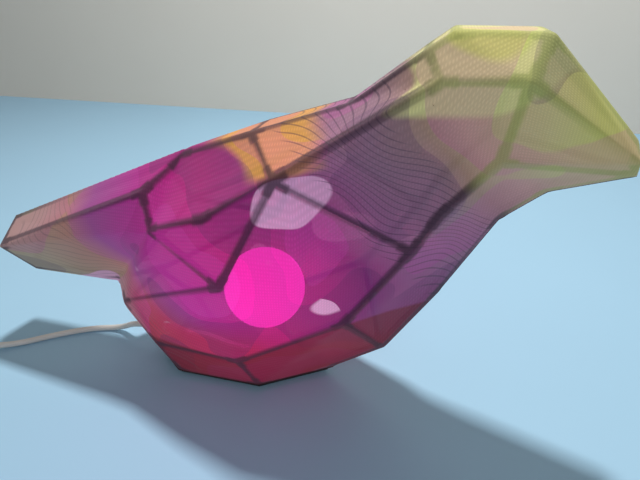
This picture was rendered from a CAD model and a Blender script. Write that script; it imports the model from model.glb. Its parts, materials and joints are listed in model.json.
# %% [markdown]
# This lamp is a bird cut into flat facets: thin printed struts carry a stretched, printed cloth, and a round
# bulb glows inside it. The struts, the base and the switch come packed from the solid model. The cloth, the
# bulb, the lampholder, the cord and its plug are made here, round those solids and in the same metres.

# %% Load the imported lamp
import json
import math

import bmesh
import bpy
from mathutils import Matrix, Vector
from mathutils.bvhtree import BVHTree


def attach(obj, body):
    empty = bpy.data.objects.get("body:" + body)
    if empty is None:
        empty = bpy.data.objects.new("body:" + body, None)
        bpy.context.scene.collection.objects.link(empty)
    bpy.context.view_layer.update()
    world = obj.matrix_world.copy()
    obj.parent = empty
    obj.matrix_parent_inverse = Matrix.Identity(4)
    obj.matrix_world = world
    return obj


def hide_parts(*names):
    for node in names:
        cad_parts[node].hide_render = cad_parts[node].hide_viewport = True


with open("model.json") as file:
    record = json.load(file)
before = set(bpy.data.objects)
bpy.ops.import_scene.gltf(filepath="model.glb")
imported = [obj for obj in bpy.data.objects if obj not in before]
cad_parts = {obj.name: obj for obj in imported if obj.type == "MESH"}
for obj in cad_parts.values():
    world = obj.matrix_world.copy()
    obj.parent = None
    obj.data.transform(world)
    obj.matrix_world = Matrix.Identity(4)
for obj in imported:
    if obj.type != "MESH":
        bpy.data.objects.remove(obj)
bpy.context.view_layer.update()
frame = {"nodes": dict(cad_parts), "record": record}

MM = 0.001

# %% [markdown]
# The camera comes first, because everything later is judged through it. It stands to the bird's right and
# looks down by 28 degrees. A focal length in pixels turns into a lens by the width of the sensor.

# %% Camera
focal_pixels, picture_width, sensor_width = 481.0, 640, 36.0
camera_data = bpy.data.cameras.new("camera")
camera_data.sensor_width = sensor_width
camera_data.lens = focal_pixels / picture_width * sensor_width
camera = bpy.data.objects.new("camera", camera_data)
camera.location = (0.1508, -0.3774, 0.3633)
camera.rotation_euler = (math.radians(62), 0, math.radians(14))
bpy.context.scene.collection.objects.link(camera)
bpy.context.scene.camera = camera
bpy.context.scene.view_settings.view_transform = "Standard"
print("lens", round(camera_data.lens, 2))

# %% [markdown]
# A few small helpers save repetition. Colours are written as on a paint chart and turned to linear light, a
# node is added with its settings and links in one line, and a finished piece is handed to its body.

# %% Helpers
def linear(chart, alpha=1.0):
    parts = [int(chart[i:i + 2], 16) / 255 for i in (1, 3, 5)]
    return (*[c / 12.92 if c <= 0.04045 else ((c + 0.055) / 1.055) ** 2.4 for c in parts], alpha)


def add_node(tree, kind, inputs=None, **settings):
    node = tree.nodes.new(kind)
    for name, value in settings.items():
        setattr(node, name, value)
    for name, value in (inputs or {}).items():
        if isinstance(value, bpy.types.NodeSocket):
            tree.links.new(value, node.inputs[name])
        else:
            node.inputs[name].default_value = value
    return node


def new_material(name):
    material = bpy.data.materials.new(name)
    material.use_nodes = True
    return material, material.node_tree, material.node_tree.nodes["Principled BSDF"]


def deselect():
    if bpy.context.object and bpy.context.object.mode != "OBJECT":
        bpy.ops.object.mode_set(mode="OBJECT")
    bpy.ops.object.select_all(action="DESELECT")


def settle(piece, body, material, replaced=()):
    piece.data.materials.clear()
    piece.data.materials.append(material)
    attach(piece, body)
    if replaced:
        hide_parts(*replaced)
    return piece


# a ring this small, in millimetres, closes to a single point when doubles are merged
at_axis, merge_gap, crisp_angle = 0.01, 0.03, 40


def turn(name, profile, place=Matrix(), steps=64):
    """A round piece: one ring, extruded and scaled along its profile of (radius, height) in millimetres."""
    deselect()
    radius, height = profile[0]
    bpy.ops.mesh.primitive_circle_add(vertices=steps, radius=radius * MM, location=(0, 0, height * MM))
    piece = bpy.context.object
    piece.name = name
    bpy.ops.object.transform_apply(location=True)
    bpy.ops.object.mode_set(mode="EDIT")
    bpy.ops.mesh.select_all(action="SELECT")
    for (r0, z0), (r1, z1) in zip(profile, profile[1:]):
        bpy.ops.mesh.extrude_region_move(TRANSFORM_OT_translate={"value": (0, 0, (z1 - z0) * MM)})
        bpy.ops.transform.resize(value=(r1 / r0, r1 / r0, 1), center_override=(0, 0, z1 * MM))
    bpy.ops.mesh.select_all(action="SELECT")
    bpy.ops.mesh.remove_doubles(threshold=merge_gap * MM)
    bpy.ops.mesh.normals_make_consistent(inside=False)
    bpy.ops.object.mode_set(mode="OBJECT")
    piece.matrix_world = place
    bpy.ops.object.transform_apply(location=True, rotation=True, scale=True)
    bpy.ops.object.shade_smooth_by_angle(angle=math.radians(crisp_angle))
    return piece


# %% [markdown]
# The cord is white PVC, smooth but never quite clean. Vinyl is softly glossy, so a roughness near 0.4 with a
# faint fine grain from the extruder and a little grey in patches keeps it from looking like a drawn line.

# %% White vinyl of the cord
def vinyl(name, clean, soiled, roughness):
    material, tree, shader = new_material(name)
    place = add_node(tree, "ShaderNodeTexCoord").outputs["Object"]
    # soiled patches of about 26 mm, extruder grain of about 0.4 mm
    patches = add_node(tree, "ShaderNodeTexNoise", {"Vector": place, "Scale": 38.0, "Detail": 4.0})
    tone = add_node(tree, "ShaderNodeMix", {0: patches.outputs["Fac"], 6: linear(clean), 7: linear(soiled)},
                    data_type="RGBA").outputs[2]
    grain = add_node(tree, "ShaderNodeTexNoise", {"Vector": place, "Scale": 2500.0, "Detail": 2.0})
    bump = add_node(tree, "ShaderNodeBump", {"Height": grain.outputs["Fac"], "Strength": 0.15,
                                             "Distance": 0.0002})
    rough = add_node(tree, "ShaderNodeMapRange", {"Value": patches.outputs["Fac"], "To Min": roughness - 0.07,
                                                  "To Max": roughness + 0.1}).outputs["Result"]
    tree.links.new(tone, shader.inputs["Base Color"])
    tree.links.new(rough, shader.inputs["Roughness"])
    tree.links.new(bump.outputs["Normal"], shader.inputs["Normal"])
    return material


cord_vinyl = vinyl("white_vinyl_extruded", "#EDEBE6", "#D6D2CA", 0.38)
print("cord material", cord_vinyl.name)

# %% [markdown]
# A cord is a fixed length of something springy. One smooth curve runs from the strain relief to the switch,
# and a second from the switch, round a flat two-layer coil, to the plug. Both follow the solids' own points.
# Control points round a circle pull the curve inwards, so the coil's points stand out by that small share.

# %% The two stretches of cord
cord_diameter = 6.5
lead_points = [(-136.5, 0, 22), (-160, 0, 22), (-188, 8, 3.3), (-220, -1, 3.3), (-254, -22, 3.3),
               (-284, -46, 3.3), (-306.21, -59.38, 6.5), (-327.41, -72.63, 6.5)]
coil_centre, coil_start_angle = (-431.95, -86.487), -1.012291
coil_inner, coil_pitch, coil_layer_turns = 27.0, 7.4, 2.25
coil_outer = coil_inner + coil_pitch * coil_layer_turns
coil_low, plug_height, plug_place, plug_heading = 4.45, 7.0, (-452.642, -39.22), 32
climb_turns, coil_turns, descent_turns = 0.5, 5.0, 0.5
points_a_turn = 16


def coil_place(turn_number):
    """Radius and height of the cord's middle after so many turns."""
    high = coil_low + coil_pitch
    if turn_number <= coil_layer_turns:
        return coil_outer - coil_pitch * turn_number, coil_low
    if turn_number <= coil_layer_turns + climb_turns:
        part = (turn_number - coil_layer_turns) / climb_turns
        return coil_inner - coil_pitch * climb_turns * min(part, 1 - part), coil_low + coil_pitch * part
    if turn_number <= coil_turns:
        return coil_inner + coil_pitch * (turn_number - coil_layer_turns - climb_turns), high
    part = (turn_number - coil_turns) / descent_turns
    rise = high if part <= 0.5 else high + (plug_height - high) * (2 * part - 1)
    return coil_outer + coil_pitch * min(1, 2 * part), rise


coil_points = [(-376.59, -103.37, 6.5), (-382.95, -107.34, 6.5)]
for number in range(round((coil_turns + descent_turns) * points_a_turn) + 1):
    radius, height = coil_place(number / points_a_turn)
    radius /= math.cos(math.pi / points_a_turn)
    angle = coil_start_angle - 2 * math.pi * number / points_a_turn
    x, y = coil_centre[0] + radius * math.cos(angle), coil_centre[1] + radius * math.sin(angle)
    coil_points.append((x, y, height))
coil_points.append((*plug_place, plug_height))


def lay_cord(name, points):
    curve = bpy.data.curves.new(name, "CURVE")
    curve.dimensions = "3D"
    curve.bevel_depth = cord_diameter / 2 * MM
    curve.bevel_resolution = 5
    curve.resolution_u = 6
    curve.use_fill_caps = True
    spline = curve.splines.new("NURBS")
    spline.points.add(len(points) - 1)
    for control, point in zip(spline.points, points):
        control.co = (*[c * MM for c in point], 1)
    spline.order_u = 3
    spline.use_endpoint_u = True
    cord = bpy.data.objects.new(name, curve)
    bpy.context.scene.collection.objects.link(cord)
    return cord


lead_cord = settle(lay_cord("cord_to_switch", lead_points), "lamp", cord_vinyl, ["cord_lead"])
coil_cord = settle(lay_cord("cord_to_plug", coil_points), "lamp", cord_vinyl, ["cord_coil"])
print("control points", len(lead_points), len(coil_points))

# %% [markdown]
# The cloth is one skin over the struts. Its corners are those of the solid, and its facets are cut into small
# triangles, finest beside a strut, so that it can be eased over the rods and drawn in a little between them.

# %% Corners and facets of the cloth
corners = {
    "tail_top": (-283, 0, 143), "tail_side": (-279, -34, 123), "tail_keel": (-278, 0, 76),
    "keel_root": (-172, 0, 76), "rump_top": (-101, -30, 200), "rump": (-90, -44, 168),
    "rump_low": (-142, -34, 74), "back_rear": (-68, 0, 234), "back_mid": (5, -20, 259),
    "back_front": (83, -14, 284), "nape": (137, -22, 325), "crown_rear": (154, -24, 337),
    "crown_front": (215, -24, 337), "wing_bend": (-29, -58, 195), "shoulder": (35, -64, 237),
    "wing_tip": (-11, -78, 143), "neck_side": (148, -40, 308), "brow": (204, -46, 310),
    "cheek": (195, -44, 256), "neck_low": (159, -46, 212), "breast_side": (142, -50, 182),
    "flank_front": (92, -56, 108), "flank_mid": (-8, -62, 51), "flank_rear": (-105, -46, 41),
    "beak_top": (290, 0, 265), "beak_side": (292, -10, 252), "beak_low": (296, 0, 239),
    "throat": (238, 0, 221), "breast_top": (207, 0, 194), "breast_mid": (168, 0, 118),
    "breast_low": (123, 0, 44), "base_front": (69, 0, 6), "base_side_front": (3, -43, 6),
    "base_side_rear": (-84, -43, 6), "base_rear": (-114, -21, 6),
}
side_facets = """tail_top tail_side rump_top, tail_top rump_top back_rear, tail_side tail_keel keel_root,
tail_side keel_root rump, tail_side rump rump_top, tail_top tail_keel tail_side, rump_top rump back_rear,
back_rear rump wing_bend, back_rear wing_bend back_mid, back_mid wing_bend shoulder,
back_mid shoulder back_front, back_front shoulder neck_side, back_front neck_side nape,
nape neck_side crown_rear, crown_rear neck_side brow, crown_rear brow crown_front,
crown_front brow beak_side, crown_front beak_side beak_top, brow cheek beak_side, cheek beak_low beak_side,
beak_top beak_side beak_low, rump keel_root rump_low, rump rump_low wing_tip, rump wing_tip wing_bend,
wing_bend wing_tip shoulder, shoulder wing_tip flank_front, shoulder flank_front breast_side,
shoulder breast_side neck_side, neck_side breast_side neck_low, neck_side neck_low cheek,
neck_side cheek brow, wing_tip rump_low flank_rear, wing_tip flank_rear flank_mid,
wing_tip flank_mid flank_front, rump_low base_rear flank_rear, flank_rear base_rear base_side_rear,
flank_rear base_side_rear flank_mid, flank_mid base_side_rear base_side_front,
flank_mid base_side_front flank_front, flank_front base_side_front base_front,
flank_front base_front breast_low, flank_front breast_low breast_mid, flank_front breast_mid breast_side,
breast_side breast_mid breast_top, breast_side breast_top neck_low, neck_low breast_top cheek,
cheek breast_top throat, cheek throat beak_low"""
middle_facets = """back_rear back_mid, back_mid back_front, back_front nape, nape crown_rear,
crown_rear crown_front, crown_front beak_top, keel_root rump_low, rump_low base_rear"""

strut_nodes = [o for n, o in frame["nodes"].items() if n.endswith("_struts") or n.endswith("_connectors")]
rods = bmesh.new()
for rod in strut_nodes:
    rods.from_mesh(rod.data)
rod_tree = BVHTree.FromBMesh(rods)
rods.free()

cloth = bmesh.new()
made = {}


def corner_vertex(name, side):
    x, y, z = corners[name]
    key = (name, side if y else 0)
    if key not in made:
        made[key] = cloth.verts.new((x * MM, side * y * MM, z * MM))
    return made[key]


for facet in side_facets.replace("\n", " ").split(","):
    for side in (1, -1):
        cloth.faces.new([corner_vertex(name, side) for name in facet.split()])
for pair in middle_facets.replace("\n", " ").split(","):
    rear, front = pair.split()
    ring = [corner_vertex(name, side) for name, side in ((rear, 1), (front, 1), (front, -1), (rear, -1))]
    cloth.faces.new(list(dict.fromkeys(ring)))
bmesh.ops.triangulate(cloth, faces=cloth.faces)
bmesh.ops.recalc_face_normals(cloth, faces=cloth.faces)
print("facets of the cloth", len(cloth.faces))

# %% [markdown]
# Long edges are halved until each is short enough for its place: 2.6 mm beside a rod or the cord's hole, and
# 6.5 mm in the open. The hem is then cut level above the table, and the cord's hole is drawn to a circle.

# %% Cut the cloth fine, hem it and open the cord's hole
fine_edge, coarse_edge, rod_margin, halvings = 2.6 * MM, 6.5 * MM, 6 * MM, 9
hem_height, hole_height, hole_radius, hole_margin = 7.2 * MM, 22 * MM, 7.2 * MM, 12 * MM
rear_part, far_away = -90 * MM, 1.0


def from_hole(point):
    """Distance from the axis of the cord's hole, which faces the tail."""
    return math.hypot(point.y, point.z - hole_height) if point.x < rear_part else far_away


for _ in range(halvings):
    long_edges = []
    for edge in cloth.edges:
        length = edge.calc_length()
        if length <= fine_edge:
            continue
        middle = (edge.verts[0].co + edge.verts[1].co) / 2
        near_rod = rod_tree.find_nearest(middle)[3] < rod_margin + length / 2
        near_hole = from_hole(middle) < hole_margin + length / 2
        if length > (fine_edge if near_rod or near_hole else coarse_edge):
            long_edges.append(edge)
    if not long_edges:
        break
    bmesh.ops.subdivide_edges(cloth, edges=long_edges, cuts=1)
    bmesh.ops.triangulate(cloth, faces=[f for f in cloth.faces if len(f.verts) > 3])
everything = list(cloth.verts) + list(cloth.edges) + list(cloth.faces)
bmesh.ops.bisect_plane(cloth, geom=everything, plane_co=(0, 0, hem_height), plane_no=(0, 0, -1),
                       clear_outer=True)
inside_hole = [f for f in cloth.faces if from_hole(f.calc_center_median()) < hole_radius]
bmesh.ops.delete(cloth, geom=inside_hole, context="FACES")
for vertex in cloth.verts:
    away = from_hole(vertex.co)
    if vertex.is_boundary and away < hole_margin:
        share = hole_radius / max(away, 1e-6)
        vertex.co.y *= share
        vertex.co.z = hole_height + (vertex.co.z - hole_height) * share
print("triangles", len(cloth.faces), "at the hole", len(inside_hole))

# %% [markdown]
# Cloth under tension turns softly over a rod and dips between rods. A few rounds of averaging with the
# neighbours round the ridges, and each point then sinks in proportion to its distance from the nearest rod.
# The cover is cut open down the breast and sewn there, so its edges meet along that line.

# %% Ease the cloth over the rods
seam_names = ("beak_low", "throat", "breast_top", "breast_mid", "breast_low", "base_front")
seam_corners = [Vector(corners[name]) * MM for name in seam_names]


def from_seam(point):
    """Distance from the straight runs of the breast seam."""
    gaps = []
    for start, end in zip(seam_corners, seam_corners[1:]):
        share = (point - start).dot(end - start) / (end - start).length_squared
        gaps.append((point - start.lerp(end, min(1, max(0, share)))).length)
    return min(gaps)


midline_slack, seam_slack = 0.01 * MM, 0.05 * MM
for edge in cloth.edges:
    edge.seam = all(abs(v.co.y) < midline_slack and from_seam(v.co) < seam_slack for v in edge.verts)
seam_edges = [edge for edge in cloth.edges if edge.seam]
free = [v for v in cloth.verts if not v.is_boundary]
easing_rounds, easing_share = 5, 0.5
for _ in range(easing_rounds):
    bmesh.ops.smooth_vert(cloth, verts=free, factor=easing_share, use_axis_x=True, use_axis_y=True,
                          use_axis_z=True)
cloth.normal_update()
deepest_dip, dip_share, rest_gap = 2.2 * MM, 0.045, 4 * MM
moves = {}
for vertex in free:
    reach = rod_tree.find_nearest(vertex.co)[3]
    moves[vertex] = -vertex.normal * min(deepest_dip, dip_share * max(0.0, reach - rest_gap))
for vertex, move in moves.items():
    vertex.co += move

bmesh.ops.split_edges(cloth, edges=seam_edges)
print("edges sewn along the breast", len(seam_edges))
shade_layer = cloth.verts.layers.float.new("rod_shade")
darkest, clear_of_rod = 2.1 * MM, 3.7 * MM
for vertex in cloth.verts:
    reach = rod_tree.find_nearest(vertex.co)[3]
    part = min(1.0, max(0.0, (clear_of_rod - reach) / (clear_of_rod - darkest)))
    vertex[shade_layer] = part * part * (3 - 2 * part)

# %% [markdown]
# The weave has to follow the cloth, so it gets a map of its own: along the bird, and round its middle line.
# The map's cut follows the lowest line of the bird, down the breast seam and under the tail.

# %% Map the cloth along and round the bird
# place along the bird and height of its middle, in metres
middle_line = [(-0.283, 0.112), (-0.15, 0.130), (-0.06, 0.120), (0.05, 0.120), (0.15, 0.215),
               (0.205, 0.285), (0.296, 0.252)]


def middle_height(x):
    for (x0, z0), (x1, z1) in zip(middle_line, middle_line[1:]):
        if x <= x1:
            return z0 + (z1 - z0) * min(1, max(0, (x - x0) / (x1 - x0)))
    return middle_line[-1][1]


map_unit, girth_radius = 0.1, 0.055
map_layer = cloth.loops.layers.uv.new("weave_map")
for face in cloth.faces:
    angles = [math.atan2(l.vert.co.y, l.vert.co.z - middle_height(l.vert.co.x)) for l in face.loops]
    if max(angles) - min(angles) > math.pi:
        angles = [a + 2 * math.pi if a < 0 else a for a in angles]
    for loop, angle in zip(face.loops, angles):
        loop[map_layer].uv = (loop.vert.co.x / map_unit, angle * girth_radius / map_unit)
    face.smooth = True
cloth_area = sum(face.calc_area() for face in cloth.faces)
cover_mesh = bpy.data.meshes.new("cloth_cover")
cloth.to_mesh(cover_mesh)
cover_tree = BVHTree.FromBMesh(cloth)
hem_ring = [v.co.copy() for v in cloth.verts if v.is_boundary and abs(v.co.z - hem_height) < 0.1 * MM]
cloth.free()
cover = bpy.data.objects.new("cloth_cover", cover_mesh)
bpy.context.scene.collection.objects.link(cover)
print("cloth area", round(cloth_area, 4), "square metres; hem points", len(hem_ring))

# %% [markdown]
# The cloth is a printed polyester weave: matt, even and a little see-through. It is dyed in broad fields,
# khaki at the tail, magenta on the body, grey-purple at the neck and yellow-green on the head, one after
# another along a slanting line from tail to beak. A slow noise first moves every point a little, so that
# the edges of the fields wander.

# %% Broad fields of the printed polyester
# the noise is about 110 mm from hill to hill, and the other values are metres and a direction
wander_scale, wander_reach = 9.0, (0.11, 0.02, 0.11)
field_direction, field_start, field_end = (0.83, 0, 0.55), -0.24, 0.40
print_cloth, tree, shader = new_material("printed_polyester_weave")
place = add_node(tree, "ShaderNodeTexCoord").outputs["Object"]
wander = add_node(tree, "ShaderNodeTexNoise", {"Vector": place, "Scale": wander_scale, "Detail": 1.0})
drift = add_node(tree, "ShaderNodeVectorMath", {0: wander.outputs["Color"], 1: (-0.5, -0.5, -0.5)},
                 operation="ADD").outputs[0]
moved = add_node(tree, "ShaderNodeVectorMath", {0: drift, 1: wander_reach, 2: place},
                 operation="MULTIPLY_ADD").outputs[0]
along = add_node(tree, "ShaderNodeVectorMath", {0: moved, 1: field_direction}, operation="DOT_PRODUCT")
along_share = add_node(tree, "ShaderNodeMapRange", {"Value": along.outputs["Value"], "From Min": field_start,
                                                    "From Max": field_end}).outputs["Result"]
ramp = add_node(tree, "ShaderNodeValToRGB", {0: along_share})
bands = [(0.04, "#8A8474"), (0.10, "#B5A684"), (0.20, "#B79C84"), (0.28, "#BE8478"), (0.33, "#9A4C90"),
         (0.40, "#B01A86"), (0.52, "#BC1478"), (0.62, "#8E2474"), (0.69, "#A0648C"), (0.77, "#A07888"),
         (0.82, "#A98673"), (0.86, "#C9A68A"), (0.92, "#CFC084"), (0.98, "#CFCB70")]
for number, (share, chart) in enumerate(bands):
    stop = ramp.color_ramp.elements[number] if number < 2 else ramp.color_ramp.elements.new(share)
    stop.position = share
    stop.color = linear(chart)
printed = ramp.outputs["Color"]
print("colour stops of the fields", len(bands))

# %% [markdown]
# Smaller motifs lie over the fields: broad tints, plain petals and evenly spaced wavy pinstripes, a
# common kind of print. Each is limited by a few measures of a place on the cloth, such as its height, its
# share of the way along, or its distance from the middle of the nearest petal.

# %% Measures that limit the motifs
moved_apart = add_node(tree, "ShaderNodeSeparateXYZ", {0: moved})
true_apart = add_node(tree, "ShaderNodeSeparateXYZ", {0: place})

# broad tints with crisp edges, 60 to 90 mm across
tint = add_node(tree, "ShaderNodeTexNoise", {"Vector": moved, "Scale": 13.0, "Detail": 0.0}).outputs["Fac"]

# petals of up to about 70 by 40 mm
petal_place = add_node(tree, "ShaderNodeMapping", {"Vector": moved, "Scale": (9, 4, 17),
                                                   "Rotation": (0, 0.6, 0)}).outputs[0]
petal = add_node(tree, "ShaderNodeTexVoronoi", {"Vector": petal_place, "Scale": 1.0, "Randomness": 0.9})
petal_chance = add_node(tree, "ShaderNodeSeparateColor", {0: petal.outputs["Color"]}).outputs[0]

# wavy pinstripes, 6 mm apart and about 1 mm wide, falling by some 25 degrees towards the beak
stripe_gap, stripe_direction = 0.006, (0.42, 0.1, 0.9)
across = add_node(tree, "ShaderNodeVectorMath", {0: moved, 1: stripe_direction}, operation="DOT_PRODUCT")
counted = add_node(tree, "ShaderNodeMath", {0: across.outputs["Value"], 1: stripe_gap}, operation="DIVIDE")
stripe = add_node(tree, "ShaderNodeMath", {0: counted.outputs[0]}, operation="FRACT").outputs[0]

# height over the rods along the flank, where the dark underside ends
rod_line = add_node(tree, "ShaderNodeMapRange", {"Value": true_apart.outputs["X"], "From Min": -0.008,
                                                 "From Max": 0.092, "To Min": 0.049,
                                                 "To Max": 0.108}).outputs["Result"]
over_rods = add_node(tree, "ShaderNodeMath", {0: true_apart.outputs["Z"], 1: rod_line},
                     operation="SUBTRACT").outputs[0]
measures = {
    "height": moved_apart.outputs["Z"], "length": moved_apart.outputs["X"], "along": along_share,
    "tint": tint, "petal": petal.outputs["Distance"], "petal_chance": petal_chance, "stripe": stripe,
    "over_rods": over_rods,
}
print("measures", len(measures))

# %% [markdown]
# A motif shows where all its limits are met. A limit names a measure, the value at which the motif is gone
# and the value at which it is whole, with a soft step from one to the other. The steps are multiplied
# together, and the motif's colour is mixed over the print by that share.

# %% Motifs over the fields
trunk = [("length", -0.15, -0.12), ("length", 0.20, 0.16)]
pinstripe = [("stripe", 0.05, 0.10), ("stripe", 0.27, 0.21)]
motifs = {
    "pale_brow": ("#E2DC92", 0.85, [("height", 0.300, 0.306)]),
    "yellow_crown": ("#DCE85A", 0.80, [("height", 0.328, 0.333)]),
    "crimson_flank": ("#B01E4A", 0.90, [("height", 0.128, 0.060), *trunk]),
    "orange_back": ("#E8A63A", 0.85, [("height", 0.226, 0.236), ("length", -0.12, -0.09),
                                      ("length", 0.09, 0.06)]),
    "rosy_tint": ("#D03AA8", 0.22, [("tint", 0.53, 0.536)]),
    "violet_tint": ("#4C1F5C", 0.30, [("tint", 0.43, 0.424)]),
    "petals": ("#F2B4DC", 0.75, [("petal", 0.34, 0.32), ("petal_chance", 0.32, 0.33), ("along", 0.80, 0.76)]),
    "dark_underside": ("#6E1024", 0.80, [("over_rods", 0.003, -0.002), *trunk]),
    "neck_stripes": ("#3A2440", 0.50, [*pinstripe, ("along", 0.655, 0.665), ("along", 0.80, 0.79)]),
    "tail_stripes": ("#5A4A50", 0.30, [*pinstripe, ("along", 0.16, 0.17), ("along", 0.30, 0.29)]),
}
for chart, share, limits in motifs.values():
    for measure, gone, whole in limits:
        step = add_node(tree, "ShaderNodeMapRange", {"Value": measures[measure], "From Min": gone,
                                                     "From Max": whole}, interpolation_type="SMOOTHSTEP")
        share = add_node(tree, "ShaderNodeMath", {0: step.outputs["Result"], 1: share},
                         operation="MULTIPLY").outputs[0]
    printed = add_node(tree, "ShaderNodeMix", {0: share, 6: printed, 7: linear(chart)},
                       data_type="RGBA").outputs[2]
print("motifs", len(motifs))

# %% [markdown]
# The weave itself is far too fine to see at this distance, so its threads are drawn 2.2 mm apart instead of
# 0.3. They shade the colour a little and raise the surface. Rods that touch the cloth from inside darken it,
# in olive on the pale head and in dark plum elsewhere.

# %% Weave and rod shade
# a wave of this scale repeats every 2.2 mm on a map whose unit is 100 mm
thread_scale = 14.3
weave_place = add_node(tree, "ShaderNodeUVMap", uv_map="weave_map").outputs[0]
warp = add_node(tree, "ShaderNodeTexWave", {"Vector": weave_place, "Scale": thread_scale},
                bands_direction="X")
weft = add_node(tree, "ShaderNodeTexWave", {"Vector": weave_place, "Scale": thread_scale},
                bands_direction="Y")
threads = add_node(tree, "ShaderNodeMath", {0: warp.outputs["Fac"], 1: weft.outputs["Fac"]},
                   operation="MULTIPLY").outputs[0]
thread_tone = add_node(tree, "ShaderNodeMapRange", {"Value": threads, "To Min": 0.9,
                                                    "To Max": 1.07}).outputs["Result"]
rod_shade = add_node(tree, "ShaderNodeAttribute", attribute_name="rod_shade").outputs["Fac"]
head_share = add_node(tree, "ShaderNodeMapRange", {"Value": along_share, "From Min": 0.80, "From Max": 0.86},
                      interpolation_type="SMOOTHSTEP").outputs["Result"]
rod_colour = add_node(tree, "ShaderNodeMix", {0: head_share, 6: linear("#35182C"), 7: linear("#93A044")},
                      data_type="RGBA").outputs[2]
rod_strength = add_node(tree, "ShaderNodeMapRange", {"Value": head_share, "To Min": 0.85,
                                                     "To Max": 0.55}).outputs["Result"]
rod_share = add_node(tree, "ShaderNodeMath", {0: rod_shade, 1: rod_strength}, operation="MULTIPLY").outputs[0]
printed = add_node(tree, "ShaderNodeMix", {0: rod_share, 6: printed, 7: rod_colour},
                   data_type="RGBA").outputs[2]
woven = add_node(tree, "ShaderNodeVectorMath", {0: printed, 3: thread_tone}, operation="SCALE").outputs[0]
print("nodes of the cloth so far", len(tree.nodes))

# %% [markdown]
# The bulb lights the cloth most where it is near, so the cloth's own colour glows in proportion. Between its
# threads the cloth also lets a little of the light straight through, and so the round bulb shows as a disc.

# %% Glow of the cloth
bulb_middle, glow_reach, glow_full = (0, 0, 0.096), 0.21, 0.045
glow_curve, glow_least, glow_most = 1.6, 0.2, 1.0
from_bulb = add_node(tree, "ShaderNodeVectorMath", {0: place, 1: bulb_middle}, operation="DISTANCE")
near_bulb = add_node(tree, "ShaderNodeMapRange", {"Value": from_bulb.outputs["Value"], "From Min": glow_reach,
                                                  "From Max": glow_full}, interpolation_type="SMOOTHSTEP")
curved = add_node(tree, "ShaderNodeMath", {0: near_bulb.outputs["Result"], 1: glow_curve}, operation="POWER")
lit_share = add_node(tree, "ShaderNodeMapRange", {"Value": curved.outputs[0], "To Min": glow_least,
                                                  "To Max": glow_most}).outputs["Result"]
lit = add_node(tree, "ShaderNodeVectorMath", {0: woven, 3: lit_share}, operation="SCALE").outputs[0]
relief = add_node(tree, "ShaderNodeBump", {"Height": threads, "Strength": 0.35, "Distance": 0.0003})
tree.links.new(woven, shader.inputs["Base Color"])
tree.links.new(lit, shader.inputs["Emission Color"])
tree.links.new(relief.outputs["Normal"], shader.inputs["Normal"])
shader.inputs["Emission Strength"].default_value = 0.75
shader.inputs["Roughness"].default_value = 0.8
shader.inputs["Sheen Weight"].default_value = 0.15
shader.inputs["Sheen Roughness"].default_value = 0.5
shader.inputs["Alpha"].default_value = 0.9
settle(cover, "lamp", print_cloth, ["cover_right", "cover_left"])

# %% [markdown]
# The hem is bound with a thin piping, and one more covers the seam down the breast. Each is a curve through
# points of the cloth itself, thickened and turned to a mesh.

# %% Piping of the hem and the breast seam
def piping(name, points, radius, closed):
    curve = bpy.data.curves.new(name, "CURVE")
    curve.dimensions = "3D"
    curve.bevel_depth = radius
    curve.bevel_resolution = 3
    curve.use_fill_caps = not closed
    spline = curve.splines.new("POLY")
    spline.points.add(len(points) - 1)
    for control, point in zip(spline.points, points):
        control.co = (*point, 1)
    spline.use_cyclic_u = closed
    source = bpy.data.objects.new(name + "_line", curve)
    bpy.context.scene.collection.objects.link(source)
    mesh = bpy.data.meshes.new_from_object(source)
    bpy.data.objects.remove(source)
    piece = bpy.data.objects.new(name, mesh)
    bpy.context.scene.collection.objects.link(piece)
    for face in piece.data.polygons:
        face.use_smooth = True
    return piece


hem_middle, least_step, seam_step = -30 * MM, 0.5 * MM, 4 * MM
hem_radius, seam_radius = 0.8 * MM, 0.55 * MM
hem_ring.sort(key=lambda p: math.atan2(p.y, p.x - hem_middle))
bound_hem = [p for i, p in enumerate(hem_ring) if (p - hem_ring[i - 1]).length > least_step]
seam_points = []
for start, end in zip(seam_corners, seam_corners[1:]):
    count = max(2, round((end - start).length / seam_step))
    seam_points += [cover_tree.find_nearest(start.lerp(end, i / count))[0] for i in range(count)]
# dyed cloth round a thin cord: rougher than vinyl, and a dark red-brown beside the print
piping_cloth = vinyl("dark_polyester_piping", "#3A2026", "#4A2A30", 0.75)
hem_piece = settle(piping("hem_piping", bound_hem, hem_radius, True), "lamp", piping_cloth)
seam_piece = settle(piping("breast_seam", seam_points, seam_radius, False), "lamp", piping_cloth)
print("hem", len(bound_hem), "seam", len(seam_points))

# %% [markdown]
# The bulb is an opal glass globe of 80 mm on a white collar, with a nickel-plated screw cap. The globe is
# turned from one smooth profile. Opal glass scatters its light, so it glows evenly, with faint clouds.

# %% Globe of the bulb
globe_radius, globe_middle, neck_height, globe_steps = 40.0, 96.0, 60.0, 40
neck_angle = math.asin((neck_height - globe_middle) / globe_radius)
globe_profile = [(at_axis, neck_height)]
for number in range(globe_steps + 1):
    angle = neck_angle + (math.pi / 2 - neck_angle) * number / globe_steps
    radius, height = globe_radius * math.cos(angle), globe_middle + globe_radius * math.sin(angle)
    globe_profile.append((max(at_axis, radius), height))
globe = turn("bulb_glass", globe_profile, steps=96)

glowing_opal, tree, shader = new_material("opal_glass_lit")
place = add_node(tree, "ShaderNodeTexCoord").outputs["Object"]
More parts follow.
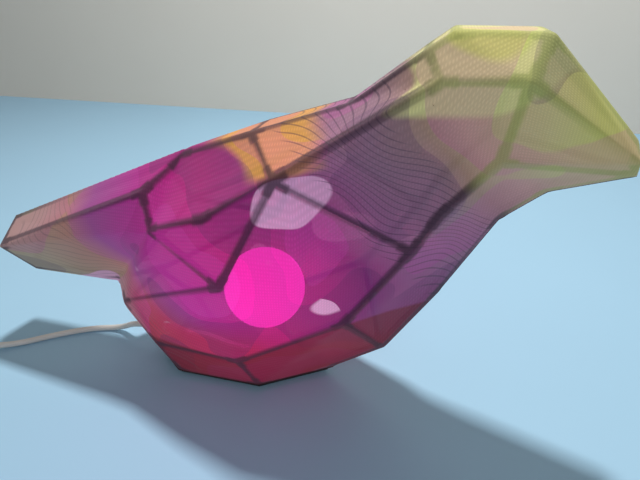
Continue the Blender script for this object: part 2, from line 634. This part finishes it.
# clouds of about 40 mm
cloud = add_node(tree, "ShaderNodeTexNoise", {"Vector": place, "Scale": 24.0, "Detail": 3.0}).outputs["Fac"]
glow = add_node(tree, "ShaderNodeMix", {0: cloud, 6: linear("#FF20B4"), 7: linear("#FF34C0")},
                data_type="RGBA")
tree.links.new(glow.outputs[2], shader.inputs["Emission Color"])
tree.links.new(glow.outputs[2], shader.inputs["Base Color"])
shader.inputs["Emission Strength"].default_value = 5.0
shader.inputs["Roughness"].default_value = 0.25
settle(globe, "lamp", glowing_opal, ["bulb_globe"])
print("globe faces", len(globe.data.polygons))

# %% [markdown]
# The cap's thread is drawn as five rounded grooves, 3.6 mm apart, and not as a true screw line. It is nearly
# hidden in the lampholder. The collar above it widens to the neck of the globe.

# %% Screw cap and collar of the bulb
cap_low, cap_high, cap_radius, tip_low, tip_high, tip_radius = 22.0, 46.0, 13.1, 18.0, 19.5, 4.5
groove_count, groove_gap, groove_depth, steps_a_groove = 5, 3.6, 0.7, 8
cap_edge, cap_plain = 0.4, 1.6
cap_profile = [(at_axis, tip_low), (tip_radius, tip_low), (tip_radius, tip_high),
               (cap_radius - cap_edge, cap_low), (cap_radius, cap_low + 0.6)]
for number in range(groove_count * steps_a_groove + 1):
    wave = 0.5 - 0.5 * math.cos(2 * math.pi * number / steps_a_groove)
    height = cap_low + cap_plain + groove_gap * number / steps_a_groove
    cap_profile.append((cap_radius - groove_depth * wave, height))
cap_profile += [(cap_radius, cap_high), (at_axis, cap_high)]
cap = turn("bulb_screw_cap", cap_profile)
collar_wall_foot = 47.6
collar_profile = [(at_axis, cap_high), (cap_radius, cap_high), (13.6, 49.0), (14.9, 53.5), (16.4, 57.5),
                  (17.3, 59.2), (17.4, neck_height), (12.0, neck_height), (11.5, collar_wall_foot),
                  (at_axis, collar_wall_foot)]
collar = turn("bulb_collar_smooth", collar_profile)
print("cap and collar faces", len(cap.data.polygons), len(collar.data.polygons))

# %% [markdown]
# Small parts follow the same recipe: a typical roughness for what they are made of, colour that drifts a
# little, and a relief at the grain's real size. One function takes those numbers for moulded, coated and
# plated parts alike.

# %% Finishes of the rigid parts
def finish(name, chart, second, roughness, metallic=0.0, grain=0.6, relief=0.1, layer=0.0, coat=0.0):
    """grain and layer are sizes in millimetres; layer lines are those of a printed part."""
    material, tree, shader = new_material(name)
    place = add_node(tree, "ShaderNodeTexCoord").outputs["Object"]
    # the colour drifts over about 33 mm
    drift = add_node(tree, "ShaderNodeTexNoise", {"Vector": place, "Scale": 30.0,
                                                  "Detail": 5.0}).outputs["Fac"]
    colour = add_node(tree, "ShaderNodeMix", {0: drift, 6: linear(chart), 7: linear(second)},
                      data_type="RGBA")
    pattern = add_node(tree, "ShaderNodeTexNoise", {"Vector": place, "Scale": 1000 / grain, "Detail": 3.0})
    height = pattern.outputs["Fac"]
    if layer:
        lines = add_node(tree, "ShaderNodeTexWave", {"Vector": place, "Scale": 314 / layer},
                         bands_direction="Z").outputs["Fac"]
        height = add_node(tree, "ShaderNodeMath", {0: height, 1: lines}, operation="ADD").outputs[0]
    bump = add_node(tree, "ShaderNodeBump", {"Height": height, "Strength": relief, "Distance": 0.0003})
    rough = add_node(tree, "ShaderNodeMapRange", {"Value": drift, "To Min": roughness * 0.85,
                                                  "To Max": min(1, roughness * 1.15)}).outputs["Result"]
    tree.links.new(colour.outputs[2], shader.inputs["Base Color"])
    tree.links.new(rough, shader.inputs["Roughness"])
    tree.links.new(bump.outputs["Normal"], shader.inputs["Normal"])
    shader.inputs["Metallic"].default_value = metallic
    shader.inputs["Coat Weight"].default_value = coat
    return material


finishes = {
    # nylon printed in layers: dull, with fine level lines, here 0.8 mm apart
    "strut": finish("black_nylon_printed", "#1E1B18", "#2B2722", 0.62, relief=0.35, layer=0.8),
    "connector": finish("black_nylon_joint", "#191613", "#27221D", 0.55, relief=0.3, layer=0.8),
    # baked powder paint: an even, slightly pebbled satin
    "plate": finish("steel_powder_coated", "#1B1A1A", "#262424", 0.55, grain=0.9, relief=0.3),
    # open foam: very dull and coarse
    "pad": finish("rubber_foam_pad", "#101010", "#1C1B1A", 0.9, grain=1.2, relief=0.5),
    # plated steel: grey and softly bright, with a fine crystal grain
    "steel": finish("zinc_plated_steel", "#A9A9A6", "#8C8C8A", 0.34, metallic=1.0, grain=0.4),
    # pressed phenolic resin: dark, hard and half glossy
    "holder": finish("phenolic_moulded", "#131212", "#1E1B1A", 0.38, grain=0.7, relief=0.12),
    # nickel on a rolled cap: warm and bright
    "bulb_cap": finish("nickel_plated_cap", "#C4C0B8", "#A8A49C", 0.26, metallic=1.0, grain=0.3),
    # moulded polycarbonate: milky and soft
    "bulb_body": finish("white_polycarbonate", "#E9E7E2", "#DAD7D0", 0.42, grain=0.8),
    "cord": cord_vinyl,
    # ABS from a polished mould: the glossiest of the white parts
    "switch": finish("white_abs_moulded", "#E8E6E1", "#DCD9D2", 0.33, grain=0.7, relief=0.12, coat=0.1),
    # soft PVC moulded over the cord: a duller white
    "plug": finish("white_pvc_moulded", "#E6E4DF", "#D6D3CB", 0.42, grain=0.9, relief=0.2),
    # polished and plated brass: nearly a mirror
    "prong": finish("brass_nickel_plated", "#C9C7C2", "#B4B1AA", 0.2, metallic=1.0, grain=0.3),
}
print("finishes", len(finishes))
settle(cap, "lamp", finishes["bulb_cap"], ["bulb_cap"])
settle(collar, "lamp", finishes["bulb_body"], ["bulb_collar"])
for part in frame["record"]["subparts"]:
    node = frame["nodes"][part["node"]]
    if part["material_slot"] in finishes and not node.hide_render:
        node.data.materials.clear()
        node.data.materials.append(finishes[part["material_slot"]])

# %% [markdown]
# The lampholder is a moulded cup. The strain relief where the cord leaves is a soft cone with rings cut in
# it, so that it bends evenly. Both are turned: the cone's profile steps in and out along the cord.

# %% Lampholder and strain relief
cup_foot, cup_floor, cup_rim, cup_radius, cup_wall = 6.0, 9.0, 44.0, 19.5, 2.0
flange_radius, flange_top, flange_edge = 28.0, 9.5, 0.5
band_low, band_high, band_out, rim_round = 37.0, 39.0, 0.6, 0.6
cup_bore = cup_radius - cup_wall
cup_profile = [
    (at_axis, cup_foot), (flange_radius - 0.4, cup_foot), (flange_radius, cup_foot + 0.4),
    (flange_radius, flange_top - flange_edge), (flange_radius - flange_edge, flange_top),
    (cup_radius + 0.7, flange_top), (cup_radius, flange_top + 0.7), (cup_radius, band_low - 1),
    (cup_radius + band_out, band_low), (cup_radius + band_out, band_high), (cup_radius, band_high + 1),
    (cup_radius, cup_rim - rim_round), (cup_radius - rim_round, cup_rim), (cup_bore + rim_round, cup_rim),
    (cup_bore, cup_rim - rim_round), (cup_bore, cup_floor), (at_axis, cup_floor),
]
cup = turn("lampholder_smooth", cup_profile, steps=72)
settle(cup, "lamp", finishes["holder"], ["lampholder_cup"])

boot_back, boot_lip, boot_shoulder, boot_front = -91.5, -98.5, -101.5, -136.5
boot_root, boot_tip, lip_radius, waist_radius, boot_bore = 6.4, 4.4, 7.5, 4.8, 3.5
ring_count, ring_gap, ring_cut, first_ring = 9, 3.6, 0.7, 2.0
boot_profile = [(boot_bore, boot_back), (boot_bore, boot_front), (boot_tip - 0.3, boot_front),
                (boot_tip, boot_front + 0.4)]
for number in range(ring_count):
    start = boot_front + first_ring + number * ring_gap
    for step, cut in ((0.0, 0.0), (0.3, ring_cut), (1.3, ring_cut), (1.6, 0.0)):
        along_boot = (start + step - boot_front) / (boot_shoulder - boot_front)
        boot_profile.append((boot_tip + (boot_root - boot_tip) * along_boot - cut, start + step))
boot_profile += [(boot_root, boot_shoulder), (lip_radius, boot_lip - 0.1),
                 (waist_radius + 0.1, boot_lip + 0.1), (waist_radius, boot_back), (boot_bore, boot_back)]
exit_height = 22.0
lengthways = Matrix.Translation((0, 0, exit_height * MM)) @ Matrix.Rotation(math.radians(90), 4, "Y")
boot = turn("cord_strain_relief", boot_profile, lengthways, steps=40)
settle(boot, "lamp", cord_vinyl, ["cord_boot"])
print("cup and strain relief faces", len(cup.data.polygons), len(boot.data.polygons))

# %% [markdown]
# The two-pin plug is moulded in one piece: a grip that widens towards the pins, with soft edges. It starts as
# a block, which is cut across three times, widened from the first cut to the last and rounded all over.

# %% Plug
plug_length, plug_thickness, plug_rear_width, plug_front_width = 36.0, 14.0, 13.0, 35.0
grip_end, flare_end, edge_round = 12.0, 21.0, 2.2
plug_spot = Matrix.Translation((plug_place[0] * MM, plug_place[1] * MM, 0))
plug_turn = plug_spot @ Matrix.Rotation(math.radians(plug_heading), 4, "Z")
deselect()
bpy.ops.mesh.primitive_cube_add(size=1, location=(0, 0, 0))
plug = bpy.context.object
plug.name = "plug_moulding"
plug.scale = (plug_length * MM, plug_rear_width * MM, plug_thickness * MM)
plug.location = (plug_length / 2 * MM, 0, plug_thickness / 2 * MM)
bpy.ops.object.transform_apply(location=True, rotation=True, scale=True)
bpy.ops.object.mode_set(mode="EDIT")
for cut_at in (grip_end, (grip_end + flare_end) / 2, flare_end):
    bpy.ops.mesh.select_all(action="SELECT")
    bpy.ops.mesh.bisect(plane_co=(cut_at * MM, 0, 0), plane_no=(1, 0, 0))
bpy.ops.object.mode_set(mode="OBJECT")
for vertex in plug.data.vertices:
    widening = min(1, max(0, (vertex.co.x / MM - grip_end) / (flare_end - grip_end)))
    eased = widening * widening * (3 - 2 * widening)
    half_width = (plug_rear_width + (plug_front_width - plug_rear_width) * eased) / 2 * MM
    vertex.co.y = math.copysign(half_width, vertex.co.y)
rounding = plug.modifiers.new("rounding", "BEVEL")
rounding.width, rounding.segments, rounding.angle_limit = edge_round * MM, 4, math.radians(50)
bpy.context.view_layer.objects.active = plug
bpy.ops.object.modifier_apply(modifier="rounding")
plug.matrix_world = plug_turn
bpy.ops.object.transform_apply(location=True, rotation=True, scale=True)
bpy.ops.object.shade_smooth_by_angle(angle=math.radians(45))
settle(plug, "lamp", finishes["plug"], ["plug_body"])
print("plug faces", len(plug.data.polygons))

# %% [markdown]
# Both stretches are declared as free cords, with their real lengths. The first leaves the strain relief and
# ends in the switch. The second leaves the switch and ends in the plug.

# %% [markdown]
# A pale floor and a pale wall stand in for a photographer's sweep. A light overhead and a little behind lays
# the shadow under the bird and towards us, and a weaker one fills the near side. The pale surroundings do
# the rest.

# %% Floor, wall and lights
def plain(name, chart):
    material, tree, shader = new_material(name)
    place = add_node(tree, "ShaderNodeTexCoord").outputs["Object"]
    mottle = add_node(tree, "ShaderNodeTexNoise", {"Vector": place, "Scale": 3.0}).outputs["Fac"]
    pale = tuple(min(1.0, c * 1.06) for c in linear(chart))
    tone = add_node(tree, "ShaderNodeMix", {0: mottle, 6: linear(chart), 7: pale}, data_type="RGBA")
    tree.links.new(tone.outputs[2], shader.inputs["Base Color"])
    shader.inputs["Roughness"].default_value = 0.7
    return material


deselect()
bpy.ops.mesh.primitive_plane_add(size=8, location=(0, 0, 0))
floor = bpy.context.object
floor.name = "floor"
floor.data.materials.append(plain("pale_blue_table", "#A4CBE2"))
bpy.ops.mesh.primitive_plane_add(size=8, location=(0, 1.1, 4), rotation=(math.radians(90), 0, 0))
wall = bpy.context.object
wall.name = "wall"
wall.data.materials.append(plain("off_white_paper", "#F0E4D4"))


def area_light(name, place, target, size, power):
    data = bpy.data.lights.new(name, "AREA")
    data.size, data.energy = size, power
    light = bpy.data.objects.new(name, data)
    light.location = place
    light.rotation_euler = (Vector(target) - Vector(place)).to_track_quat("-Z", "Y").to_euler()
    bpy.context.scene.collection.objects.link(light)


area_light("overhead", place=(0.1, 0.45, 1.75), target=(0, 0, 0.1), size=0.14, power=24)
area_light("front_fill", place=(0.5, -1.5, 1.0), target=(0, 0, 0.15), size=1.4, power=5)
world = bpy.data.worlds.new("studio")
world.use_nodes = True
world.node_tree.nodes["Background"].inputs["Color"].default_value = linear("#E8ECF2")
world.node_tree.nodes["Background"].inputs["Strength"].default_value = 0.25
bpy.context.scene.world = world
